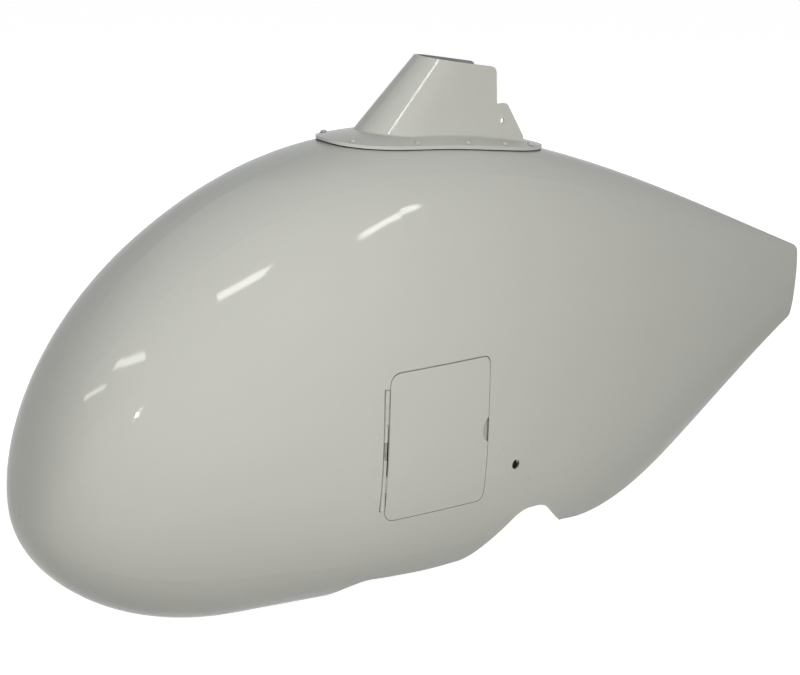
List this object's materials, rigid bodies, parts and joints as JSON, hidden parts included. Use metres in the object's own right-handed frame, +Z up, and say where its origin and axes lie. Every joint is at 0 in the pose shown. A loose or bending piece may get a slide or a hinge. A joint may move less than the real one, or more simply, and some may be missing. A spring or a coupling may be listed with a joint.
{
  "type": "nose wheel fairing",
  "caption": "Streamlined teardrop shell that covers a small aircraft's nose wheel, open below, with a raked strut cuff on top and a hinged access door in its side.",
  "frame": {"origin": "on the wheel axle's line, midway between the two side walls", "axes": "+Z up, +Y along the axle towards the right wall, +X aft towards the tail; the nose points to -X and the access door is in the wall on the -Y side"},
  "size_m": [0.9535, 0.2503, 0.5405],
  "materials": {
    "body_gelcoat": "glossy white gelcoat on a glass fibre laminate",
    "cuff_gelcoat": "glossy white gelcoat on a glass fibre laminate",
    "door_gelcoat": "glossy white gelcoat on a glass fibre laminate",
    "frame_laminate": "bare glass fibre laminate",
    "gasket_rubber": "matte black",
    "seal_rubber": "matte black",
    "screw_steel": "satin",
    "nut_steel": "plated, satin",
    "rivet_aluminium": "satin",
    "hinge_metal": "painted white",
    "spring_steel": "bright",
    "painted_rivet": "painted over",
    "plate_aluminium": "satin"
  },
  "bodies": {
    "fairing": {"fairing_shell": "body_gelcoat", "strut_cuff": "cuff_gelcoat", "cuff_gasket": "gasket_rubber", "cuff_screws": "screw_steel", "cuff_washers": "screw_steel", "cuff_nutplates": "nut_steel", "cuff_nutplate_rivets": "rivet_aluminium", "door_stop_frame": "frame_laminate", "door_seal": "seal_rubber", "hinge_leaf_shell": "hinge_metal", "hinge_pin": "hinge_metal", "hinge_spring": "spring_steel", "hinge_rivets_shell": "painted_rivet", "axle_plate_left": "plate_aluminium", "axle_plate_right": "plate_aluminium", "axle_plate_rivets_left": "painted_rivet", "axle_plate_rivets_right": "painted_rivet"},
    "door": {"access_door": "door_gelcoat", "hinge_leaf_door": "hinge_metal", "hinge_rivets_door": "painted_rivet"}
  },
  "joints": [
    {"name": "door_hinge", "type": "hinge", "parent": "fairing", "child": "door", "pos_m": [-0.1711, -0.11942, 0.0445], "axis": [0, 0.0525, -0.9986], "range_deg": [0, 90], "stiffness_Nm_per_rad": 0.02, "springref_deg": -17.19, "deforming": ["hinge_spring"]}
  ]
}
